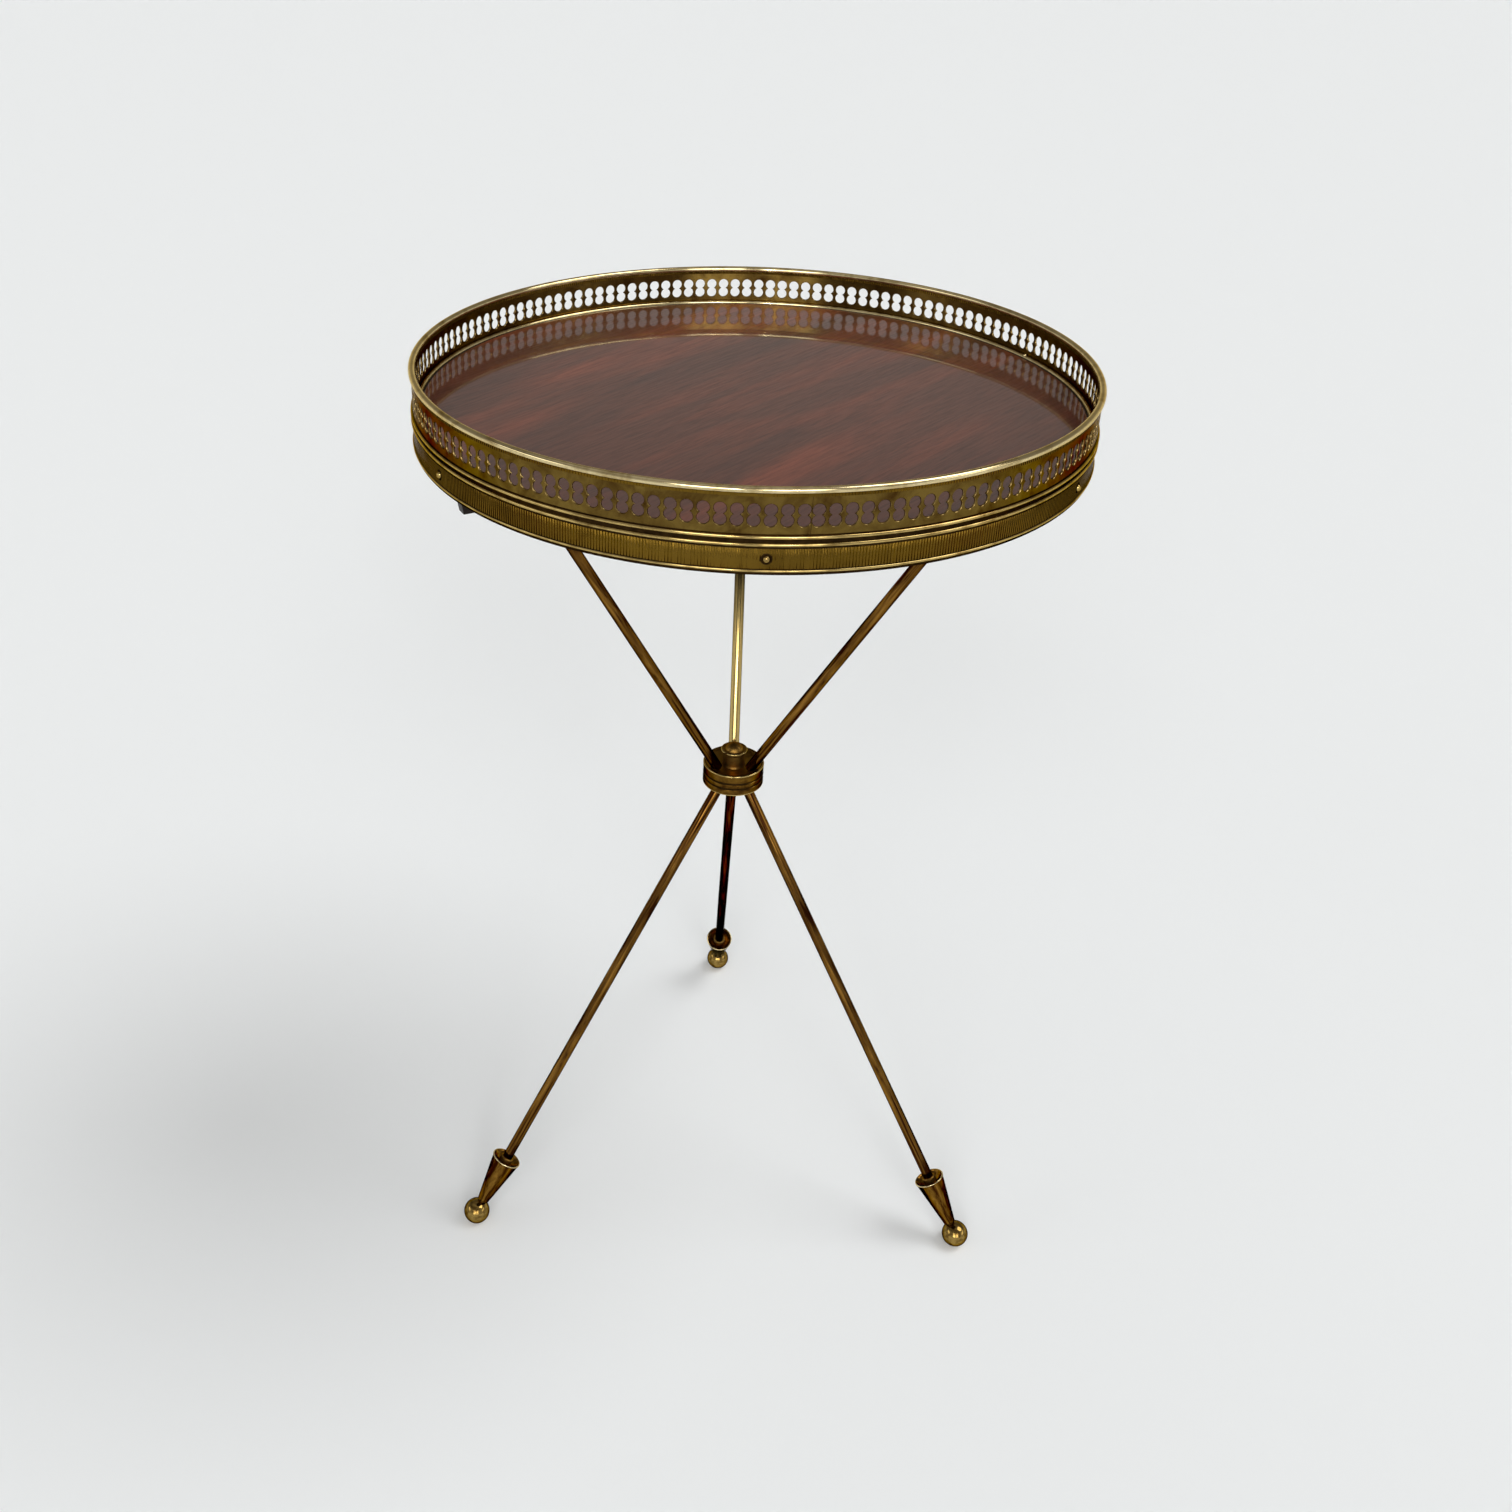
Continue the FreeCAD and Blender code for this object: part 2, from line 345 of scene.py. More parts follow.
class Nodes:
    """A small helper that builds the nodes and links of one tree."""

    def __init__(self, tree: bpy.types.NodeTree) -> None:
        """Starts from a tree."""
        self.tree = tree

    def node(self, kind: str, **settings: object) -> bpy.types.Node:
        """Adds a node of a kind, with its settings."""
        made = self.tree.nodes.new(kind)
        for key, value in settings.items():
            setattr(made, key, value)
        return made

    def fill(self, made: bpy.types.Node, **values: object) -> None:
        """Sets the constant values of a node's sockets; an underscore stands for a space."""
        for key, value in values.items():
            made.inputs[key.replace("_", " ")].default_value = value

    def link(self, source: bpy.types.NodeSocket, target: bpy.types.NodeSocket) -> None:
        """Joins two sockets."""
        self.tree.links.new(source, target)

    def spread(
        self, value: bpy.types.NodeSocket, source: Point, target: Point
    ) -> bpy.types.NodeSocket:
        """Maps a range of values to another, and holds it there."""
        made = self.node("ShaderNodeMapRange")
        self.fill(made, From_Min=source[0], From_Max=source[1])
        self.fill(made, To_Min=target[0], To_Max=target[1])
        self.link(value, made.inputs["Value"])
        return made.outputs["Result"]

    def blend(
        self,
        share: bpy.types.NodeSocket,
        first: bpy.types.NodeSocket | Colour,
        second: bpy.types.NodeSocket | Colour,
    ) -> bpy.types.NodeSocket:
        """Mixes two colours by a share."""
        made = self.node("ShaderNodeMix", data_type="RGBA")
        self.link(share, made.inputs[0])
        for spot, colour in ((6, first), (7, second)):
            if isinstance(colour, tuple):
                made.inputs[spot].default_value = (*colour, 1.0)
            else:
                self.link(colour, made.inputs[spot])
        return made.outputs[2]

    def axes(self, kind: str) -> Sequence[bpy.types.NodeSocket]:
        """X, Y and Z of one kind of coordinates."""
        parts = self.node("ShaderNodeSeparateXYZ")
        self.link(self.node("ShaderNodeTexCoord").outputs[kind], parts.inputs[0])
        return parts.outputs

    def product(self, *factors: bpy.types.NodeSocket) -> bpy.types.NodeSocket:
        """Multiplies values."""
        result = factors[0]
        for factor in factors[1:]:
            result = self.maths("MULTIPLY", result, factor)
        return result

    def maths(
        self, operation: str, first: bpy.types.NodeSocket, second: bpy.types.NodeSocket | float
    ) -> bpy.types.NodeSocket:
        """One sum of two values."""
        made = self.node("ShaderNodeMath", operation=operation)
        self.link(first, made.inputs[0])
        if isinstance(second, float):
            made.inputs[1].default_value = second
        else:
            self.link(second, made.inputs[1])
        return made.outputs[0]


class SurfaceNodes(Nodes):
    """The nodes of one material, with its shader."""

    def __init__(self, name: str) -> None:
        """Makes the material with an empty tree and its shader."""
        self.material = bpy.data.materials.new(name)
        self.material.use_nodes = True
        super().__init__(self.material.node_tree)
        self.tree.nodes.clear()
        self.shader = self.tree.nodes.new("ShaderNodeBsdfPrincipled")
        output = self.tree.nodes.new("ShaderNodeOutputMaterial")
        self.tree.links.new(self.shader.outputs[0], output.inputs["Surface"])

    def place(self, scale: Sequence[float], turn: float = 0.0) -> bpy.types.NodeSocket:
        """Coordinates of the object, turned about +Z and scaled."""
        coordinates = self.node("ShaderNodeTexCoord")
        mapping = self.node("ShaderNodeMapping", vector_type="TEXTURE")
        steps = [1 / value for value in scale]
        self.fill(mapping, Rotation=(0, 0, math.radians(turn)), Scale=steps)
        self.link(coordinates.outputs["Object"], mapping.inputs["Vector"])
        return mapping.outputs["Vector"]

    def noise(
        self, place: bpy.types.NodeSocket, detail: float, roughness: float, distortion: float = 0.0
    ) -> bpy.types.NodeSocket:
        """A soft random pattern at a place."""
        made = self.node("ShaderNodeTexNoise")
        self.fill(made, Scale=1.0, Detail=detail, Roughness=roughness, Distortion=distortion)
        self.link(place, made.inputs["Vector"])
        return made.outputs["Fac"]

    def bump(self, height: bpy.types.NodeSocket, depth_mm: float, strength: float = 1.0) -> None:
        """Raises the surface by a pattern, after any earlier bump."""
        made = self.node("ShaderNodeBump")
        self.fill(made, Strength=strength, Distance=depth_mm * METRES_PER_MM)
        self.link(height, made.inputs["Height"])
        earlier = self.shader.inputs["Normal"].links
        if earlier:
            self.link(earlier[0].from_socket, made.inputs["Normal"])
        self.link(made.outputs["Normal"], self.shader.inputs["Normal"])


@dataclass(frozen=True)
class BrassFinish:
    """Polished brass with patches of tarnish, fine rubbing marks and a slight unevenness.

    Colours are as read from a picture, 0 to 255. Gloss and tarnish are ranges: the roughness of
    bright and dull metal, and the levels of the patches between which tarnish sets in.
    """

    name: str
    bright: Colour
    # The dark colour: tarnish, and on the back rod also its painted shade.
    tarnish_and_shade: Colour
    edge: Colour
    gloss: Point
    tarnish: Point
    patch_mm: float = 14.0
    drawn_out: float = 1.0
    lathe_mm: float = 0.0
    reeds: int = 0
    reed_depth_mm: float = 0.0
    # Painted shade: where along the piece's own axis the dark colour starts, and over how far it
    # takes over.
    painted_shade_from_mm: float = 0.0
    painted_shade_over_mm: float = 70.0
    speck_mm: float = 1.1
    rub_width_mm: float = 0.5
    rub_length_mm: float = 26.0
    slot: str = AGED

    def look(self) -> Look:
        """Makes the material.

        Returns:
            A metal whose colour, gloss and relief vary over the surface, with its slot.
        """
        nodes = SurfaceNodes(self.name)
        inputs = nodes.shader.inputs
        wide = MM_PER_METRE / self.patch_mm
        patches = nodes.noise(nodes.place([wide, wide, wide / self.drawn_out]), 6.0, 0.62, 0.6)
        specks = nodes.noise(nodes.place([MM_PER_METRE / self.speck_mm] * 3), 3.0, 0.6)
        along_rub, across_rub = MM_PER_METRE / self.rub_length_mm, MM_PER_METRE / self.rub_width_mm
        rubbed = nodes.noise(nodes.place([along_rub, along_rub, across_rub]), 2.0, 0.5)
        tarnish = nodes.spread(patches, self.tarnish, RISING)
        share = nodes.maths("MAXIMUM", tarnish, nodes.spread(specks, (0.60, 0.75), (0.0, 0.45)))
        # Painted shade: past a point on the piece's own axis the colour turns to the dark one.
        if self.painted_shade_from_mm:
            share = nodes.maths("MAXIMUM", share, self.painted_shade_share(nodes))
        colour = nodes.blend(share, srgb(*self.bright), srgb(*self.tarnish_and_shade))
        nodes.link(colour, inputs["Base Color"])
        rough = nodes.spread(share, RISING, self.gloss)
        marks = nodes.spread(rubbed, (0.35, 0.75), (0.0, 0.05))
        nodes.link(nodes.maths("ADD", rough, marks), inputs["Roughness"])
        inputs["Metallic"].default_value = 1.0
        inputs["Specular Tint"].default_value = (*srgb(*self.edge), 1.0)
        nodes.bump(patches, 0.05, 0.35)
        nodes.bump(specks, 0.012, 0.5)
        if self.lathe_mm:
            nodes.bump(rubbed, self.lathe_mm)
        if self.reeds:
            nodes.bump(self.reeding(nodes), self.reed_depth_mm)
        return Look(nodes.material, self.slot)

    def painted_shade_share(self, nodes: SurfaceNodes) -> bpy.types.NodeSocket:
        """A share of the dark colour, painted shade, which grows along the piece's own axis."""
        start, length = self.painted_shade_from_mm / MM_PER_METRE, self.painted_shade_over_mm / MM_PER_METRE
        return nodes.spread(nodes.axes("Object")[2], (start, start + length), RISING)

    def reeding(self, nodes: SurfaceNodes) -> bpy.types.NodeSocket:
        """A round of fine upright reeds about the table's axis, deeper in some places."""
        across, back, _ = nodes.axes("Object")
        turn = nodes.maths("ARCTAN2", back, across)
        wave = nodes.node("ShaderNodeMath", operation="SINE")
        nodes.link(nodes.maths("MULTIPLY", turn, float(self.reeds)), wave.inputs[0])
        patch = [MM_PER_METRE / 3.0, MM_PER_METRE / 3.0, MM_PER_METRE / 40.0]
        uneven = nodes.noise(nodes.place(patch), 4.0, 0.6)
        return nodes.product(wave.outputs[0], nodes.spread(uneven, (0.3, 0.7), (0.4, 1.0)))


@dataclass(frozen=True)
class WoodFinish:
    """Wood with long streaks, fine pores and an optional gloss varnish.

    Colours are as read from a picture, 0 to 255.
    """

    name: str
    ground: Colour
    streak: Colour
    shade: Colour
    grain_turn: float = 0.0
    grain_mm: float = 4.0
    gloss: float = 0.4
    varnish: float = 0.0
    pore_darkness: float = 0.35

    def look(self) -> Look:
        """Makes the material.

        Returns:
            A wood whose streaks run along its grain, with its slot.
        """
        nodes = SurfaceNodes(self.name)
        inputs = nodes.shader.inputs
        ground, streak, shade = srgb(*self.ground), srgb(*self.streak), srgb(*self.shade)
        pore = tuple(channel * self.pore_darkness for channel in shade)
        wide, turn = MM_PER_METRE / self.grain_mm, self.grain_turn
        bands = nodes.noise(nodes.place([wide / 8, wide, wide], turn), 2.0, 0.5, 0.2)
        shades = nodes.noise(nodes.place([wide / 5, wide * 1.6, wide], turn + 2), 2.0, 0.55, 0.2)
        fibres = nodes.noise(nodes.place([wide * 1.4, wide * 16, wide], turn), 3.0, 0.7)
        pores = nodes.noise(nodes.place([wide * 1.4, wide * 45, wide], turn), 2.0, 0.5)
        colour = nodes.blend(nodes.spread(bands, (0.46, 0.76), RISING), ground, streak)
        for pattern, levels, most, tint in (
            (shades, (0.50, 0.80), 0.70, shade),
            (fibres, (0.40, 0.75), 0.60, shade),
            (pores, (0.60, 0.72), 0.45, pore),
        ):
            colour = nodes.blend(nodes.spread(pattern, levels, (0.0, most)), colour, tint)
        nodes.link(colour, inputs["Base Color"])
        nodes.link(nodes.spread(fibres, (0.3, 0.7), (0.34, 0.46)), inputs["Roughness"])
        inputs["Specular IOR Level"].default_value = 0.12
        inputs["Coat Weight"].default_value = self.varnish
        inputs["Coat Roughness"].default_value = self.gloss
        nodes.bump(pores, 0.03, 0.4)
        return Look(nodes.material, WOOD)


@dataclass(frozen=True)
class SteelFinish:
    """Plain dull screw steel, its colour as read from a picture, 0 to 255."""

    name: str
    colour: Colour
    mark_mm: float = 0.8
    worn_share: float = 0.55

    def look(self) -> Look:
        """Makes the material, with its slot."""
        nodes = SurfaceNodes(self.name)
        inputs = nodes.shader.inputs
        fresh = srgb(*self.colour)
        worn = tuple(channel * self.worn_share for channel in fresh)
        marks = nodes.noise(nodes.place([MM_PER_METRE / self.mark_mm] * 3), 3.0, 0.6)
        share = nodes.spread(marks, (0.4, 0.7), RISING)
        nodes.link(nodes.blend(share, fresh, worn), inputs["Base Color"])
        nodes.link(nodes.spread(marks, (0.3, 0.7), (0.3, 0.5)), inputs["Roughness"])
        inputs["Metallic"].default_value = 1.0
        return Look(nodes.material, AGED)


FINISHES = (
    BrassFinish(
        "rim_brass", (220, 202, 154), (158, 132, 80), (235, 215, 170),
        (0.06, 0.16), (0.46, 0.74), slot=POLISHED,
    ),
    BrassFinish(
        "gallery_brass", (116, 94, 44), (66, 44, 15), (170, 140, 80),
        (0.14, 0.25), (0.38, 0.70), slot=POLISHED,
    ),
    BrassFinish(
        "moulding_brass", (196, 170, 108), (100, 74, 30), (200, 170, 110),
        (0.05, 0.14), (0.44, 0.74), slot=POLISHED,
    ),
    BrassFinish(
        "apron_brass", (112, 86, 30), (66, 47, 13), (80, 60, 30),
        (0.15, 0.26), (0.42, 0.78), 60.0, reeds=760, reed_depth_mm=0.32,
    ),
    BrassFinish(
        "leg_brass", (150, 108, 46), (46, 20, 6), (24, 14, 8),
        (0.05, 0.14), (0.34, 0.58), 4.0, 16.0,
    ),
    BrassFinish(
        "foot_brass", (150, 110, 44), (54, 24, 6), (26, 16, 8),
        (0.05, 0.14), (0.36, 0.60), 4.0, 8.0, 0.02,
    ),
    BrassFinish(
        "hub_brass", (118, 86, 32), (54, 30, 8), (34, 20, 10),
        (0.08, 0.18), (0.38, 0.68), 9.0, lathe_mm=0.01,
    ),
    BrassFinish(
        "dish_brass", (146, 112, 54), (94, 62, 26), (190, 160, 110),
        (0.34, 0.48), (0.42, 0.74), 7.0,
    ),
    BrassFinish(
        "pin_brass", (176, 150, 90), (90, 66, 30), (150, 120, 70),
        (0.06, 0.14), (0.46, 0.74), 5.0, slot=POLISHED,
    ),
    # Painted light on the back upper rod: its dark colour, which takes over along the rod's own
    # axis, is painted shade at the upper end, and its pale bright colour is a painted reflection on
    # the lower part.
    BrassFinish(
        "back_rod_painted_light_brass", (192, 166, 104), (27, 19, 9), (30, 20, 10),
        (0.12, 0.22), (0.56, 0.80), 4.0, 16.0, painted_shade_from_mm=60.0,
    ),
    BrassFinish(
        "ball_brass", (160, 132, 72), (98, 74, 34), (30, 20, 8),
        (0.08, 0.16), (0.42, 0.66), 4.0, lathe_mm=0.03,
    ),
    BrassFinish(
        "cut_brass", (138, 116, 72), (84, 63, 32), (170, 145, 95),
        (0.18, 0.30), (0.40, 0.70), 5.0, slot=POLISHED,
    ),
    # Painted shade: a dark dull brass for grooves, recesses and the undersides of edges.
    BrassFinish(
        "painted_shade_brass", (52, 36, 16), (30, 19, 8), (40, 28, 14),
        (0.30, 0.45), (0.40, 0.70), 5.0,
    ),
    WoodFinish("mahogany_top", (90, 47, 30), (136, 64, 38), (54, 32, 24), 52.0, 30.0, 0.035, 1.0),
    WoodFinish("board_wood", (36, 27, 21), (44, 32, 23), (27, 21, 17), grain_mm=6.0),
    WoodFinish("block_wood", (34, 26, 21), (44, 30, 23), (24, 19, 16)),
    # Painted shadow: a near-black sheet for the gap inside the ring.
    WoodFinish("painted_shadow_gap", (20, 14, 11), (26, 17, 13), (14, 11, 9)),
    SteelFinish("screw_steel", (120, 116, 108)),
)


# ---------------------------------------------------------------- the top


@dataclass
class Gallery:
    """The pierced strip with its rim wire and the double bead round its foot."""

    palette: dict[str, Look]
    top: float = 616.5
    middle_radius: float = 197.8
    rim_height: float = 4.8
    wire_width: float = 4.2
    wire_height: float = 3.7
    collar_width: float = 2.6
    strip_thickness: float = 1.2
    strip_overlap: float = 1.2
    visible_height: float = 20.2
    hole_count: int = 153
    lobe_radius: float = 3.2
    lobe_spacing: float = 5.6
    lobe_chords: int = 18
    hole_rise: float = 10.2
    hole_edge: float = 0.28
    hole_margin: float = 1.2
    seam_angle: float = -82.4
    seam_pitch_share: float = 0.86
    seam_gap: float = 0.22
    moulding_height: float = 6.9
    bead_radius: float = 1.0
    bead_step: float = 0.9
    back_thickness: float = 0.35
    segments: int = 288

    @property
    def outer(self) -> float:
        """The strip's outer radius."""
        return self.middle_radius + self.strip_thickness / 2

    @property
    def inner(self) -> float:
        """The strip's inner radius."""
        return self.middle_radius - self.strip_thickness / 2

    @property
    def rim_bottom(self) -> float:
        """The height of the rim's lower edge."""
        return self.top - self.rim_height

    @property
    def moulding_top(self) -> float:
        """The height of the upper bead's top."""
        return self.rim_bottom - self.visible_height

    @property
    def foot(self) -> float:
        """The height of the strip's lower edge, on the apron."""
        return self.moulding_top - self.moulding_height

    def rim(self) -> None:
        """Builds the rim wire, a little flattened, on its narrow dark collar."""
        half, rise, collar = self.wire_width / 2, self.wire_height / 2, self.collar_width / 2
        middle, crown = self.middle_radius, self.top - rise
        round_wire = arc((0.0, 0.0), 1.0, -180, 180, 26)[:-1]
        wire = [(middle + half * across, crown + rise * up) for across, up in round_wire]
        step = box_ring(middle - collar, middle + collar, self.rim_bottom, crown)
        ring = {"closed": True, "sharp": 50}
        lathe("rim_collar", [step], self.segments, self.palette["apron_brass"], **ring)
        lathe("rim", [wire], self.segments, self.palette["rim_brass"], "rim_bead", **ring)

    def hole_outline(self, offset: float) -> list[Point]:
        """The outline of one hole, two lobes that run into each other.

        Args:
            offset: How far outside the hole's own edge the outline runs.

        Returns:
            Points across and up from the hole's centre, anticlockwise.
        """
        radius, lift = self.lobe_radius + offset, self.lobe_spacing / 2
        meet = math.degrees(math.asin(lift / radius))
        upper = arc((0.0, lift), radius, -meet, 180 + meet, self.lobe_chords)
        lower = arc((0.0, -lift), radius, 180 - meet, 360 + meet, self.lobe_chords)
        return upper[:-1] + lower[:-1]

    def cell(
        self, strip: MeshMaker, cut: MeshMaker, angle: float, left: float, right: float, seam: int
    ) -> None:
        """Adds the strip round one hole, with its faces looking out of the metal.

        Args:
            strip: Where the strip's corners and faces go.
            cut: Where those of the hole's cut edge go.
            angle: The hole's direction in degrees.
            left: How far the cell reaches clockwise, in millimetres.
            right: How far it reaches anticlockwise.
            seam: Which side is an open end: -1 left, 1 right, 0 neither.
        """
        centre = self.moulding_top + self.hole_rise
        low, high = self.foot - centre, self.rim_bottom + self.strip_overlap - centre
        reach = self.lobe_spacing / 2 + self.lobe_radius + self.hole_margin

        def row(maker: MeshMaker, points: Sequence[Point], radius: float) -> list[int]:
            """A row of corners at a radius, bent round the table."""
            turns = [angle + math.degrees(across / self.middle_radius) for across, _ in points]
            heights = [centre + up for _, up in points]
            return [maker.add(polar(radius, *spot)) for spot in zip(turns, heights)]

        edge, flare = self.hole_outline(0.0), self.hole_outline(self.hole_edge)
        frame = []
        for across, up in flare:
            side = right if across >= 0 else left
            share = min(side / max(abs(across), 1e-9), reach / max(abs(up), 1e-9))
            frame.append((across * share, up * share))
        walls = [
            row(cut, flare, self.outer),
            row(cut, edge, self.outer - self.hole_edge),
            row(cut, edge, self.inner + self.hole_edge),
            row(cut, flare, self.inner),
        ]
        for first, second in zip(walls, walls[1:]):
            cut.bridge(first, second)
        for radius, outside in ((self.outer, True), (self.inner, False)):
            ring, hole = row(strip, frame, radius), row(strip, flare, radius)
            strip.bridge(*((ring, hole) if outside else (hole, ring)))
            numbered = list(zip(frame, ring))
            for up, far in ((reach, high), (-reach, low)):
                met = sorted((u, n) for (u, v), n in numbered if abs(v - up) < NEARLY_ZERO)
                first, last = row(strip, [(-left, up), (right, up)], radius)
                line = [first, *(n for _, n in met), last]
                across_line = (-left, *(u for u, _ in met), right)
                beyond = row(strip, [(u, far) for u in across_line], radius)
                onwards = outside == (up > 0)
                strip.bridge(*((line, beyond) if onwards else (beyond, line)), closed=False)
                for across, corner, top in ((-left, first, met[0][1]), (right, last, met[-1][1])):
                    beside = [spot for spot in numbered if abs(spot[0][0] - across) < NEARLY_ZERO]
                    near = max(beside, key=lambda spot: spot[0][1] * up)[1]
                    facing = (across * up > 0) == outside
                    strip.face(near, *((corner, top) if facing else (top, corner)))
        if seam:
            across = right if seam > 0 else -left
            met = sorted(v for u, v in frame if abs(u - across) < NEARLY_ZERO)
            upright = [(across, up) for up in (low, -reach, *met, reach, high)]
            ends = [row(strip, upright, radius) for radius in (self.outer, self.inner)]
            strip.bridge(*(ends if seam < 0 else reversed(ends)), closed=False)

    def strip(self) -> None:
        """Builds the pierced strip, open at its seam, and the bright cut edges of its holes."""
        strip, cut = MeshMaker(), MeshMaker()
        pitch = 360 / (self.hole_count - 1 + self.seam_pitch_share)
        first = self.seam_angle + pitch * self.seam_pitch_share / 2
        half = math.radians(pitch) * self.middle_radius / 2
        near_seam = half * self.seam_pitch_share - self.seam_gap / 2
        last = self.hole_count - 1
        for index in range(self.hole_count):
            left = near_seam if index == 0 else half
            right = near_seam if index == last else half
            seam = {0: -1, last: 1}.get(index, 0)
            self.cell(strip, cut, first + pitch * index, left, right, seam)
        finished(cut.build("hole_edges", 50, None), self.palette["cut_brass"])
        look = self.palette["gallery_brass"]
        finished(strip.build("gallery_strip", 30, None), look, "gallery_band")

    def moulding(self) -> None:
        """Builds the strip with two half-round beads round the gallery's foot."""
        radius = self.bead_radius
        inner = self.outer + 0.02
        back = inner + self.back_thickness
        low, high = self.foot + self.bead_step, self.moulding_top - 2 * radius
        outline = [(inner, self.foot), (back + 0.3, self.foot)]
        outline += [(back + 0.3, low - 0.15), (back, low)]
        outline += arc((back, low + radius), radius, -88, 88, 12)
        outline += [(back, low + 2 * radius + 0.1), (back, high - 0.1)]
        outline += arc((back, high + radius), radius, -88, 88, 12)
        outline += [(inner, self.moulding_top)]
        look = self.palette["moulding_brass"]
        lathe("double_bead", [outline], self.segments, look, "bead_moulding", closed=True, sharp=45)

    def grooves(self) -> None:
        """Builds the dark lines beside the beads and at the strip's foot, painted shade in the
        recesses.
        """
        back, inner = self.outer + self.back_thickness, self.outer - 0.05
        low, high = self.foot + self.bead_step, self.moulding_top - 2 * self.bead_radius
        rings = [
            box_ring(inner, back + 0.42, self.foot + 0.05, low + 0.25),
            box_ring(inner, back + 0.34, low + 2 * self.bead_radius - 0.25, high + 0.25),
            box_ring(inner, self.outer + 0.16, self.moulding_top - 0.3, self.moulding_top + 0.45),
        ]
        look = self.palette["painted_shade_brass"]
        lathe("bead_grooves", rings, self.segments, look, closed=True, sharp=30)

    def build(self) -> None:
        """Builds the whole gallery."""
        self.grooves()
        self.rim()
        self.strip()
        self.moulding()


@dataclass
class Apron:
    """The reeded band round the board, its bead and lip, and its dome-headed pins."""

    palette: dict[str, Look]
    gallery: Gallery
    height: float = 11.1
    thickness: float = 1.6
    bead_radius: float = 0.8
    lip_height: float = 1.8
    lip_rounding: float = 1.1
    pin_count: int = 6
    pin_radius: float = 2.0
    pin_rise: float = 1.7
    pin_ring: float = 1.0
    pin_seat: float = 0.6
    first_pin: float = 271.6

    @property
    def outer(self) -> float:
        """The band's outer radius."""
        return self.gallery.inner + self.thickness

    @property
    def bead_top(self) -> float:
        """The height where the band ends and the bead starts."""
        return self.gallery.foot - self.height

    def band(self) -> None:
        """Builds the reeded band."""
        inner, outer = self.gallery.inner, self.outer
        top, low = self.gallery.foot, self.bead_top - 0.4
        outline = [(inner, low), (outer, low), (outer, top - 0.25)]
        outline += [(outer - 0.25, top), (inner, top)]
        segments, look = self.gallery.segments, self.palette["apron_brass"]
        lathe("apron", [outline], segments, look, "apron_band", closed=True, sharp=45)

    def edge(self) -> None:
        """Builds the smooth bead, and below it the lip, dark with painted shade."""
        inner, outer, rounding = self.gallery.inner, self.outer, self.lip_rounding
        bottom = self.bead_top - 2 * self.bead_radius - self.lip_height
        lip = [(inner, bottom), (outer - rounding, bottom)]
        lip += arc((outer - rounding, bottom + rounding), rounding, -70, 0, 5)
        lip += [(outer, self.bead_top + 0.3), (inner, self.bead_top + 0.3)]
        segments = self.gallery.segments
        lathe("apron_lip", [lip], segments, self.palette["painted_shade_brass"], closed=True, sharp=45)
        middle = self.bead_top - self.bead_radius
        bead = [(outer - 0.3, middle - 0.6)]
        bead += arc((outer, middle), self.bead_radius * 0.9, -80, 80, 12)
        bead += [(outer - 0.3, middle + 0.6)]
        lathe("apron_bead", [bead], segments, self.palette["moulding_brass"], closed=True, sharp=60)

    def pins(self) -> None:
        """Builds the dome-headed pins and the dark rings of painted shade round them."""
        height, low = (self.gallery.foot + self.bead_top) / 2, -self.pin_seat
        pin = [(0.0, low), (self.pin_radius, low), *dome(self.pin_radius, self.pin_rise, 0.15, 8)]
        far = self.pin_radius + self.pin_ring
        ring = [(0.0, low), (far, low), (far, 0.05), (far - 0.3, 0.14), (0.0, 0.14)]
        turns = [self.first_pin + 360 / self.pin_count * index for index in range(self.pin_count)]
        spots = [along(polar(self.outer, turn, height), polar(1, turn, 0)) for turn in turns]
        lathe("pin_rings", [ring], 28, self.palette["painted_shade_brass"], spots=spots)
        lathe("apron_pins", [pin], 28, self.palette["pin_brass"], spots=spots)

    def build(self) -> None:
        """Builds the apron, its lower edge and its pins."""
        self.band()
        self.edge()
        self.pins()


@dataclass
class WoodenTop:
    """The veneered panel, the ring round it with its rivet, and the board under it."""

    palette: dict[str, Look]
    gallery: Gallery
    nodes: dict[str, bpy.types.Object]
    panel_top: float = 592.0
    panel_thickness: float = 4.0
    ring_fit: float = 0.1
    ring_width: float = 2.9
    ring_rise: float = 1.4
    gap_width: float = 1.2
    rivet_angle: float = 27.4
    rivet_radius: float = 1.3
    rivet_rise: float = 0.8

    def wood(self) -> None:
        """Dresses the nodes of panel, board and block, whose shapes stay."""
        for node, look in (
            ("top_panel", self.palette["mahogany_top"]),
            ("core_board", self.palette["board_wood"]),
            ("packing_block", self.palette["block_wood"]),
        ):
            mesh = self.nodes[node].data
            mesh.materials.clear()
            mesh.materials.append(look.material)

    def ring(self) -> None:
        """Builds the slim ring with its rounded crown, its rivet and a dark ring of painted shadow
        in the gap beside it.
        """
        outer, half = self.gallery.inner - self.ring_fit, self.ring_width / 2
        inner, top = outer - self.ring_width, self.panel_top + self.ring_rise
        low = self.panel_top - self.panel_thickness
        ring = [(inner, low), (outer, low), *arc((outer - half, top - half), half, 0, 180, 14)]
        segments, look = self.gallery.segments, self.palette["rim_brass"]
        lathe("panel_ring", [ring], segments, look, "inner_ring", closed=True, sharp=50)
        # Painted shadow: a thin dark ring laid in the gap inside the ring.
        low, high, far = self.panel_top - 0.2, self.panel_top + 0.06, inner - self.gap_width
        gap = [(far, low), (inner, low), (inner, high), (far + 0.1, high), (far, high - 0.1)]
        lathe("ring_painted_shadow_gap", [gap], segments, self.palette["painted_shadow_gap"], closed=True, sharp=30)
        spot = Matrix.Translation(polar(outer - half, self.rivet_angle, top))
        rivet = [(0.0, -0.5), (self.rivet_radius, -0.5)]
        rivet += dome(self.rivet_radius, self.rivet_rise, -0.1, 6)
        lathe("ring_rivet", [rivet], 24, look, spots=[spot])

    def build(self) -> None:
        """Builds the wooden top and its ring."""
        self.wood()
        self.ring()


# ---------------------------------------------------------------- the stand


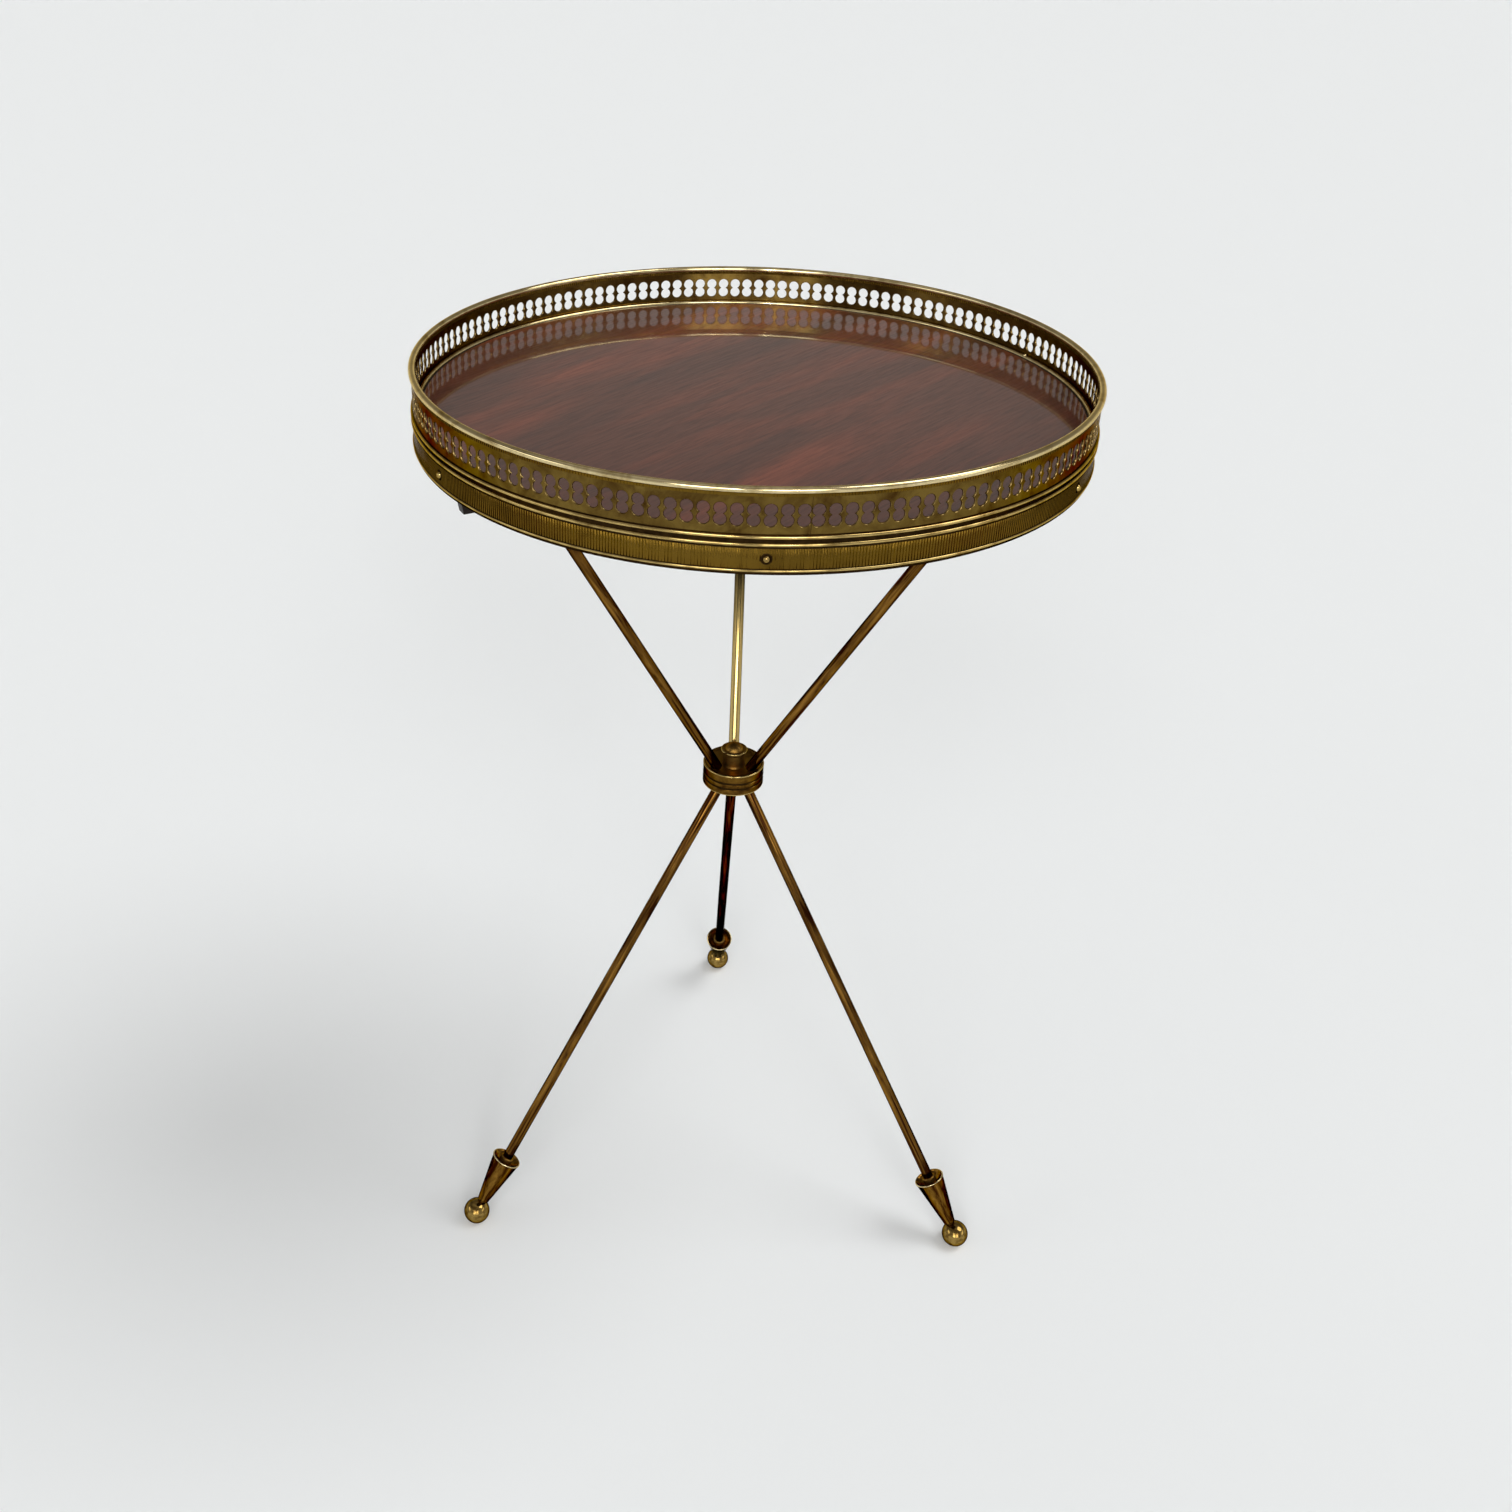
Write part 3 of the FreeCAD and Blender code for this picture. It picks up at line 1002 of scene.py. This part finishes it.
@dataclass
class LegLines:
    """The straight lines that the rods follow."""

    board_bottom: float = 571.6
    hub_top: float = 338.5
    hub_bottom: float = 323.4
    ball_radius: float = 9.15
    upper_board_radius: float = 148.8
    upper_hub_radius: float = 13.3
    lower_hub_radius: float = 9.2
    foot_circle: float = 198.5

    def upper(self, leg: Leg, height: float) -> Vector:
        """A point of an upper rod's axis."""
        share = (height - self.hub_top) / (self.board_bottom - self.hub_top)
        reach = self.upper_hub_radius + (self.upper_board_radius - self.upper_hub_radius) * share
        return polar(reach, leg.value, height)

    def lower(self, leg: Leg, height: float) -> Vector:
        """A point of a lower rod's axis."""
        share = (self.hub_bottom - height) / (self.hub_bottom - self.ball_radius)
        reach = self.lower_hub_radius + (self.foot_circle - self.lower_hub_radius) * share
        return polar(reach, leg.value, height)

    def foot_axis(self, leg: Leg) -> Matrix:
        """The matrix from a foot's own axis, which starts at its ball's centre."""
        start = self.lower(leg, self.ball_radius)
        return along(start, (self.lower(leg, self.hub_bottom) - start).normalized())


@dataclass
class Hub:
    """The turned hub where the rods meet, with its post and cap."""

    palette: dict[str, Look]
    lines: LegLines
    radius: float = 20.3
    lip: float = 1.8
    dish_depth: float = 2.0
    dish_flat_radius: float = 9.0
    dish_chords: int = 11
    groove_depth: float = 0.8
    groove_half: float = 0.75
    groove_count: int = 2
    groove_rise: float = 5.0
    groove_pitch: float = 3.9
    post_height: float = 11.7
    flange_edge_radius: float = 8.15
    cap_radius: float = 6.2
    cap_rise: float = 4.2
    nut_radius: float = 5.6
    nut_height: float = 3.0
    segments: int = 96
    post_segments: int = 64

    @property
    def floor(self) -> float:
        """The height of the dish's floor."""
        return self.lines.hub_top - self.dish_depth

    @property
    def post_top(self) -> float:
        """The height of the post's top, under the cap."""
        return self.floor + self.post_height

    @property
    def groove_heights(self) -> list[float]:
        """The heights of the grooves' middles."""
        first = self.lines.hub_bottom + self.groove_rise
        return [first + self.groove_pitch * index for index in range(self.groove_count)]

    def drum(self) -> None:
        """Builds the grooved drum."""
        low, top, radius = self.lines.hub_bottom, self.lines.hub_top, self.radius
        half, bottom, shelf = self.groove_half, radius - self.groove_depth, radius - self.lip - 0.1
        outline = [(0.0, low), (radius - 0.7, low), (radius, low + 0.7)]
        for middle in self.groove_heights:
            outline += [(radius, middle - half), (bottom, middle - half * 0.4)]
            outline += [(bottom, middle + half * 0.4), (radius, middle + half)]
        outline += [(radius, top - 0.3), (radius - 0.3, top), (radius - self.lip, top)]
        outline += [(shelf, top - 0.3), (shelf, low + 1.0), (0.0, low + 1.0)]
        look = self.palette["hub_brass"]
        lathe("hub", [eased(outline, 0.28)], self.segments, look, "hub_body", sharp=60)

    def edges(self) -> None:
        """Builds bright rings round the drum's lip and foot and the post's flange, painted
        highlights on these edges.
        """
        low, top, radius = self.lines.hub_bottom, self.lines.hub_top, self.radius
        rings = [
            [(centre - 0.2, height), *arc((centre, height), 0.64, start, end, 10)]
            for centre, height, start, end in (
                (radius - 0.55, top - 0.55, -20, 130),
                (radius - 0.6, low + 0.6, -110, 20),
                (self.flange_edge_radius, self.post_top - 0.35, -30, 100),
            )
        ]
        look = self.palette["moulding_brass"]
        lathe("hub_edge_painted_highlights", rings, self.segments, look, closed=True, sharp=50)

    def grooves(self) -> None:
        """Builds the dark bottoms of the drum's grooves, painted shade."""
        reach = self.radius - 0.4
        rings = [box_ring(reach - 1.5, reach, at - 0.5, at + 0.5) for at in self.groove_heights]
        look = self.palette["painted_shade_brass"]
        lathe("hub_grooves", rings, self.segments, look, closed=True, sharp=30)

    def dish(self) -> None:
        """Builds the hollow of the hub's top, which curves up to the lip."""
        edge, flat = self.radius - self.lip, self.dish_flat_radius
        outline = [(0.0, self.floor - 1.0), (edge - 0.3, self.floor - 1.0)]
        outline.append((edge, self.lines.hub_top - 0.15))
        for step in range(1, self.dish_chords):
            share = 1 - step / self.dish_chords
            rise = (self.dish_depth - 0.15) * share ** 2
            outline.append((flat + (edge - flat) * share, self.floor + rise))
        outline += [(flat, self.floor), (0.0, self.floor)]
        lathe("hub_dish", [outline], self.segments, self.palette["dish_brass"], sharp=60)

    def post(self) -> None:
        """Builds the waisted post with the flange under its cap, and the domed cap."""
        low, top, look = self.floor, self.post_top, self.palette["dish_brass"]
        post = [(0.0, low - 0.2), (7.9, low - 0.2), (7.6, low + 0.5), (7.3, low + 1.6)]
        post += [(7.2, top - 3.0), (7.4, top - 2.3), (8.5, top - 1.7), (8.6, top - 0.15)]
        post = eased(post + [(8.2, top), (0.0, top)], 0.3)
        lathe("hub_post_turned", [post], self.post_segments, look, "hub_post", sharp=60)
        cap = [(0.0, top - 0.1), (self.cap_radius, top - 0.1)]
        cap += dome(self.cap_radius, self.cap_rise, top, 14)
        lathe("hub_dome", [cap], self.post_segments, look, "hub_cap")

    def nut(self) -> None:
        """Builds the six-sided nut under the hub, with chamfered corners."""
        low, high = self.lines.hub_bottom - self.nut_height, self.lines.hub_bottom
        outline = [(0.0, low), (self.nut_radius - 1.0, low), (self.nut_radius, low + 0.5)]
        outline += [(self.nut_radius, high), (0.0, high)]
        lathe("hub_nut_hex", [outline], 6, self.palette["leg_brass"], "hub_nut", sharp=20)

    def build(self) -> None:
        """Builds the hub and what stands on it."""
        self.drum()
        self.edges()
        self.grooves()
        self.dish()
        self.post()
        self.nut()


@dataclass
class Rods:
    """The six straight rods and the flanges under the board."""

    palette: dict[str, Look]
    lines: LegLines
    hub: Hub
    radius: float = 3.5
    flange_radius: float = 17.0
    flange_thickness: float = 3.0
    screw_count: int = 3
    screw_circle: float = 11.5
    foot_depth: float = 46.4
    segments: int = 48

    def bar(self, name: str, start: Vector, end: Vector, look: Look, node: str) -> None:
        """Builds one rod with eased ends between two points."""
        length, axis = (end - start).length, along(start, (end - start).normalized())
        outline = [(0.0, 0.0), (self.radius, 0.0), (self.radius, length * 0.33)]
        outline += [(self.radius, length * 0.66), (self.radius, length), (0.0, length)]
        lathe(name, [eased(outline, 0.3)], self.segments, look, node, sharp=50, axis=axis)

    def flange(self, leg: Leg) -> None:
        """Builds the round plate under the board, with its screws."""
        radius, high = self.flange_radius, self.lines.board_bottom
        low = high - self.flange_thickness
        centre = self.lines.upper(leg, high)
        plate = [(0.0, low), (radius - 0.8, low), (radius, low + 0.8), (radius, high), (0.0, high)]
        spot, ending = Matrix.Translation((centre.x, centre.y, 0)), leg.node_ending
        node, look = "top_flange_" + ending, self.palette["leg_brass"]
        lathe("flange_" + ending, [eased(plate, 0.25)], 64, look, node, sharp=50, spots=[spot])
        screw = [(0.0, -0.6), (2.6, -0.6), (2.6, 0.0), (2.1, 0.55), (0.45, 0.8), (0.35, 0.35)]
        spots = []
        for index in range(self.screw_count):
            turn = leg.value + 60 + 360 / self.screw_count * index
            place = Vector((centre.x, centre.y, low)) + polar(self.screw_circle, turn, 0)
            spots.append(Matrix.Translation(place) @ Matrix.Rotation(math.pi, 4, "X"))
        name = "flange_screws_" + ending
        lathe(name, [screw + [(0.0, 0.35)]], 24, self.palette["screw_steel"], spots=spots)

    def build(self) -> None:
        """Builds the rods and flanges of all legs."""
        for leg in Leg:
            ending = leg.node_ending
            # The back upper rod gets the finish with painted light: shade at its upper end, a pale
            # reflection below.
            look = self.palette["back_rod_painted_light_brass"] if leg is Leg.BACK else self.palette["leg_brass"]
            foot = self.lines.upper(leg, self.hub.floor + 0.6)
            head = self.lines.upper(leg, self.lines.board_bottom - self.flange_thickness + 1.0)
            self.bar("rod_upper_" + ending, foot, head, look, "upper_rod_" + ending)
            low = self.lines.foot_axis(leg) @ Vector((0, 0, self.foot_depth - 1.5))
            high = self.lines.lower(leg, self.lines.hub_bottom + 1.0)
            look = self.palette["leg_brass"]
            self.bar("rod_lower_" + ending, low, high, look, "lower_rod_" + ending)
            self.flange(leg)


@dataclass
class Feet:
    """The three cones on balls, with a ferrule where the rod goes in."""

    palette: dict[str, Look]
    lines: LegLines
    seat_radius: float = 3.4
    neck_radius: float = 3.2
    neck_height: float = 1.4
    bottom_radius: float = 4.1
    top_radius: float = 10.5
    cone_length: float = 39.4
    lip: float = 0.8
    dish_radius: float = 5.4
    dish_depth: float = 3.0
    bore_radius: float = 3.4
    ferrule_radius: float = 4.7
    ferrule_height: float = 4.6
    segments: int = 64

    @property
    def seat(self) -> float:
        """The distance from the ball's centre to the cone's lower end."""
        return math.sqrt(self.lines.ball_radius ** 2 - self.seat_radius ** 2)

    @property
    def top(self) -> float:
        """The distance from the ball's centre to the cone's top."""
        return self.seat + self.cone_length

    def cone(self, leg: Leg) -> None:
        """Builds one cone with its neck, thin lip and dished top, and its worn bright edge."""
        low, top, radius = self.seat, self.top, self.top_radius
        shoulder, inside = low + self.neck_height, self.top_radius - self.lip
        cone = [(0.0, low - 0.3), (self.neck_radius, low - 0.3), (self.neck_radius, shoulder)]
        cone += [(self.bottom_radius, shoulder + 0.3), (radius - 0.35, top - 1.2)]
        cone += [(radius, top - 0.9), (radius, top - 0.2), (radius - 0.2, top), (inside, top)]
        cone += [(inside - 0.7, top - 1.0), (self.dish_radius, top - self.dish_depth)]
        cone = eased(cone + [(0.0, top - self.dish_depth)], 0.2)
        ending, axis = leg.node_ending, self.lines.foot_axis(leg)
        name, node, look = "cone_" + ending, "foot_cone_" + ending, self.palette["foot_brass"]
        lathe(name, [cone], self.segments, look, node, sharp=60, axis=axis)
        ring, look = arc((radius - 0.42, top - 0.40), 0.45, -30, 210, 10), self.palette["rim_brass"]
        name = "cone_lip_" + ending
        lathe(name, [ring], self.segments, look, closed=True, sharp=50, axis=axis)

    def ferrule(self, leg: Leg) -> None:
        """Builds the small ring where the rod enters the cone."""
        low, bore, radius = self.top - self.dish_depth - 0.2, self.bore_radius, self.ferrule_radius
        high = low + self.ferrule_height
        ring = [(bore, low), (radius, low), (radius, high - 0.5)]
        ring += [(radius - 0.5, high), (bore, high)]
        name, axis = "ferrule_" + leg.node_ending, self.lines.foot_axis(leg)
        lathe(name, [ring], 40, self.palette["dish_brass"], closed=True, axis=axis)

    def ball(self, leg: Leg) -> None:
        """Builds one ball, upright on its pole."""
        radius, ending = self.lines.ball_radius, leg.node_ending
        points = arc((0.0, 0.0), radius, -90, 90, 32)
        outline = [(0.0, -radius), *points[1:-1], (0.0, radius)]
        axis = Matrix.Translation(self.lines.lower(leg, radius))
        look, node = self.palette["ball_brass"], "foot_ball_" + ending
        lathe("ball_" + ending, [outline], self.segments, look, node, axis=axis)

    def build(self) -> None:
        """Builds the feet of all legs."""
        for leg in Leg:
            self.cone(leg)
            self.ferrule(leg)
            self.ball(leg)


# ---------------------------------------------------------------- studio


@dataclass(frozen=True)
class SunLamp:
    """A distant soft lamp."""

    name: str
    strength: float
    softness: float
    towards: tuple[float, float, float]

    def build(self) -> None:
        """Adds the lamp, which shines along its direction."""
        data = bpy.data.lights.new(self.name, "SUN")
        data.energy = self.strength
        data.angle = math.radians(self.softness)
        lamp = placed(self.name, data)
        lamp.rotation_mode = "QUATERNION"
        lamp.rotation_quaternion = Vector(self.towards).to_track_quat("-Z", "Y")


@dataclass
class Studio:
    """Pale floor, soft light and the camera of the photograph."""

    picture_px: float = 1512.0
    focal_px: float = 1593.35
    distance: float = 906.70
    height: float = 905.90
    pitch: float = 0.5271
    yaw: float = 0.0700
    roll: float = 0.0146
    centre_x_px: float = 639.79
    centre_y_px: float = 706.53
    swing: float = -0.02726
    floor_colour: Colour = (243, 246, 247)
    window_level: float = 5.2
    front_level: float = 0.5
    side_level: float = 2.6
    room_level: float = 0.93
    floor_metres: float = 60.0

    def camera(self) -> None:
        """Adds the camera, turned and shifted as the photograph's was."""
        ahead = Vector((0, math.cos(self.pitch), -math.sin(self.pitch)))
        above = Vector((0, math.sin(self.pitch), math.cos(self.pitch)))
        across = Vector((1, 0, 0))
        right = math.cos(self.roll) * across + math.sin(self.roll) * above
        up = math.cos(self.roll) * above - math.sin(self.roll) * across
        swing = Matrix.Rotation(self.swing, 3, "Z")
        axes = Matrix((right, up, -ahead)).transposed()
        turned = swing @ Matrix.Rotation(self.yaw, 3, "Z") @ axes
        place = swing @ Vector((0, -self.distance, self.height))
        data = bpy.data.cameras.new("camera")
        data.sensor_width = 36.0
        data.lens = self.focal_px / self.picture_px * data.sensor_width
        data.shift_x = 0.5 - self.centre_x_px / self.picture_px
        data.shift_y = self.centre_y_px / self.picture_px - 0.5
        data.clip_end = 200.0
        camera = placed("camera", data)
        camera.matrix_world = Matrix.Translation(place * METRES_PER_MM) @ turned.to_4x4()
        bpy.context.scene.camera = camera

    def floor(self) -> None:
        """Adds the pale floor."""
        half = self.floor_metres / 2
        mesh = bpy.data.meshes.new("floor")
        corners = [(-half, -half, 0), (half, -half, 0), (half, half, 0), (-half, half, 0)]
        mesh.from_pydata(corners, [], [(0, 1, 2, 3)])
        floor = placed("floor", mesh)
        nodes = SurfaceNodes("floor_paper")
        nodes.shader.inputs["Base Color"].default_value = (*srgb(*self.floor_colour), 1.0)
        nodes.shader.inputs["Roughness"].default_value = 0.9
        nodes.shader.inputs["Specular IOR Level"].default_value = 0.1
        mesh.materials.append(nodes.material)

    def room(self) -> None:
        """Makes the room: pale walls, a dim upper wall, and windows in front and at the sides."""
        world = bpy.data.worlds.new("room")
        world.use_nodes = True
        nodes = Nodes(world.node_tree)
        across, back, up = nodes.axes("Generated")
        walls = nodes.node("ShaderNodeValToRGB")
        nodes.link(up, walls.inputs["Fac"])
        stops = walls.color_ramp.elements
        stops[0].position, stops[0].color = 0.0, (0.77, 0.82, 0.88, 1)
        stops[1].position, stops[1].color = 1.0, (0.42, 0.42, 0.43, 1)
        for height, level in ((0.20, 0.62), (0.30, 0.29), (0.48, 0.22), (0.74, 0.20), (0.86, 0.42)):
            stops.new(height).color = (level * 1.05, level, level * 0.94, 1)
        aside = nodes.maths("ABSOLUTE", across, 0.0)
        front = nodes.product(
            nodes.spread(back, (-0.35, -0.10), FALLING),
            nodes.spread(up, (0.15, 0.20), RISING),
            nodes.spread(up, (0.62, 0.70), FALLING),
        )
        pane = nodes.product(
            front,
            nodes.spread(aside, (0.04, 0.07), RISING),
            nodes.spread(aside, (0.34, 0.40), FALLING),
        )
        side = nodes.product(
            nodes.spread(aside, (0.80, 0.84), RISING),
            nodes.spread(back, (0.0, 0.1), FALLING),
            nodes.spread(aside, (0.91, 0.95), FALLING),
            nodes.spread(up, (0.22, 0.27), RISING),
            nodes.spread(up, (0.46, 0.52), FALLING),
        )
        lit = walls.outputs["Color"]
        levels = (self.front_level, self.window_level, self.side_level)
        for share, level in zip((front, pane, side), levels):
            lit = nodes.blend(share, lit, (level,) * 3)
        background = world.node_tree.nodes["Background"]
        nodes.link(lit, background.inputs["Color"])
        background.inputs["Strength"].default_value = self.room_level
        bpy.context.scene.world = world

    def build(self) -> None:
        """Sets up camera, floor and light."""
        self.camera()
        self.floor()
        self.room()
        SunLamp("key", 1.05, 34.0, (-0.40, -0.02, -0.62)).build()
        SunLamp("glint", 0.12, 3.0, (0.09, 0.86, -0.40)).build()
        SunLamp("second_glint", 0.10, 3.0, (-0.22, 0.86, -0.46)).build()
        bpy.context.scene.view_settings.view_transform = "Standard"


def main() -> None:
    """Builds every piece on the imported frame, and then the studio round it."""
    logging.basicConfig(level=logging.INFO, format="%(name)s: %(message)s")
    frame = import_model()
    palette = {finish.name: finish.look() for finish in FINISHES}
    gallery = Gallery(palette)
    gallery.build()
    Apron(palette, gallery).build()
    WoodenTop(palette, gallery, frame["nodes"]).build()
    lines = LegLines()
    hub = Hub(palette, lines)
    hub.build()
    Rods(palette, lines, hub).build()
    Feet(palette, lines).build()
    Studio().build()


if __name__ == "__main__":
    main()
